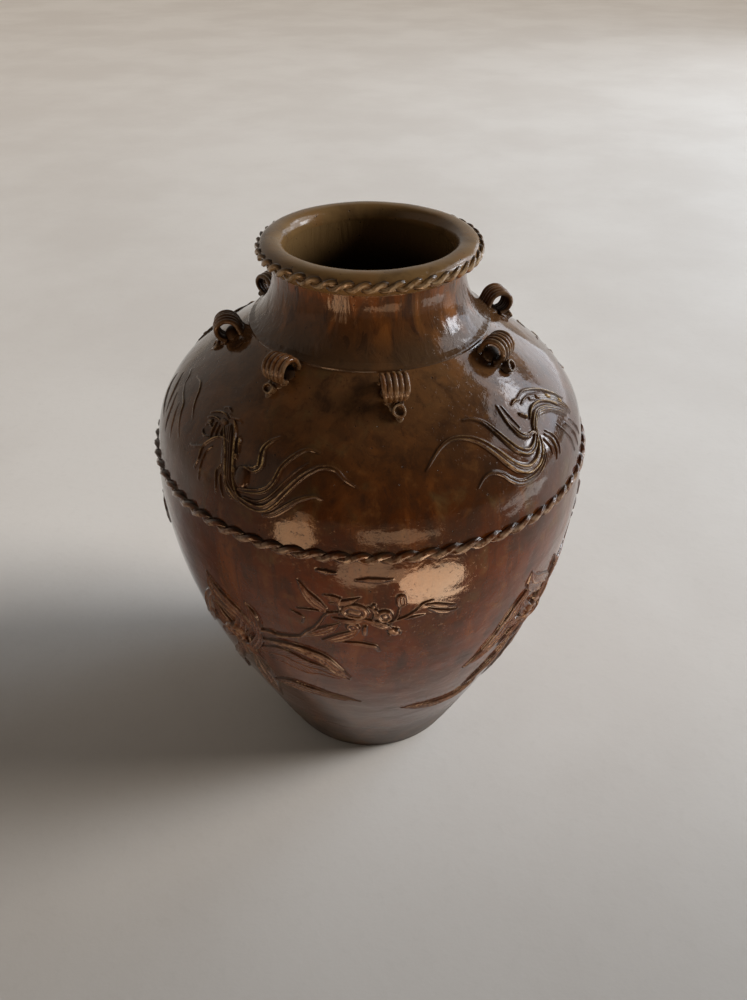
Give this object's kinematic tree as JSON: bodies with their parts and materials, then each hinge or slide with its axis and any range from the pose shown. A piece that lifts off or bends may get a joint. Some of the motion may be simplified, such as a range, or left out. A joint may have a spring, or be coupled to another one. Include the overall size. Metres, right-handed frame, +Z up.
{
  "type": "martaban jar",
  "caption": "Tall brown-glazed stoneware storage jar with ribbed cord lugs on the shoulder, twisted rope bands at lip and belly, and applied birds and flower sprays.",
  "frame": {"origin": "centre of the flat foot, on the floor", "axes": "+Z up along the jar's axis; -Y faces the front, midway between the two front lugs"},
  "size_m": [0.4739, 0.474, 0.64],
  "materials": {
    "body_glaze": "glossy brown iron glaze, darker in streaks",
    "lip_glaze": "olive brown glaze, half gloss",
    "rope_glaze": "glossy brown glaze, thin on the ridges",
    "lug_glaze": "glossy brown glaze, thin on the ribs",
    "relief_glaze": "glossy amber brown glaze, dark where it pools",
    "foot_glaze": "bare grey-brown stoneware with a thin wash"
  },
  "bodies": {
    "root": {"base_disc": "foot_glaze", "lower_wall": "body_glaze", "upper_wall": "body_glaze", "neck_collar": "body_glaze", "lip_roll": "lip_glaze", "neck_ridge": "body_glaze", "rim_rope": "rope_glaze", "belly_rope": "rope_glaze", "lug_1": "lug_glaze", "pellet_1": "lug_glaze", "lug_2": "lug_glaze", "pellet_2": "lug_glaze", "lug_3": "lug_glaze", "pellet_3": "lug_glaze", "lug_4": "lug_glaze", "pellet_4": "lug_glaze", "lug_5": "lug_glaze", "pellet_5": "lug_glaze", "lug_6": "lug_glaze", "pellet_6": "lug_glaze", "lug_7": "lug_glaze", "pellet_7": "lug_glaze", "lug_8": "lug_glaze", "pellet_8": "lug_glaze", "bird_1": "relief_glaze", "tail_1": "relief_glaze", "flower_1": "relief_glaze", "leaves_1": "relief_glaze", "branch_1": "relief_glaze", "bird_2": "relief_glaze", "tail_2": "relief_glaze", "flower_2": "relief_glaze", "leaves_2": "relief_glaze", "branch_2": "relief_glaze", "bird_3": "relief_glaze", "tail_3": "relief_glaze", "flower_3": "relief_glaze", "leaves_3": "relief_glaze", "branch_3": "relief_glaze", "bird_4": "relief_glaze", "tail_4": "relief_glaze", "flower_4": "relief_glaze", "leaves_4": "relief_glaze", "branch_4": "relief_glaze", "cloud_1": "relief_glaze", "cloud_2": "relief_glaze"}
  },
  "joints": []
}
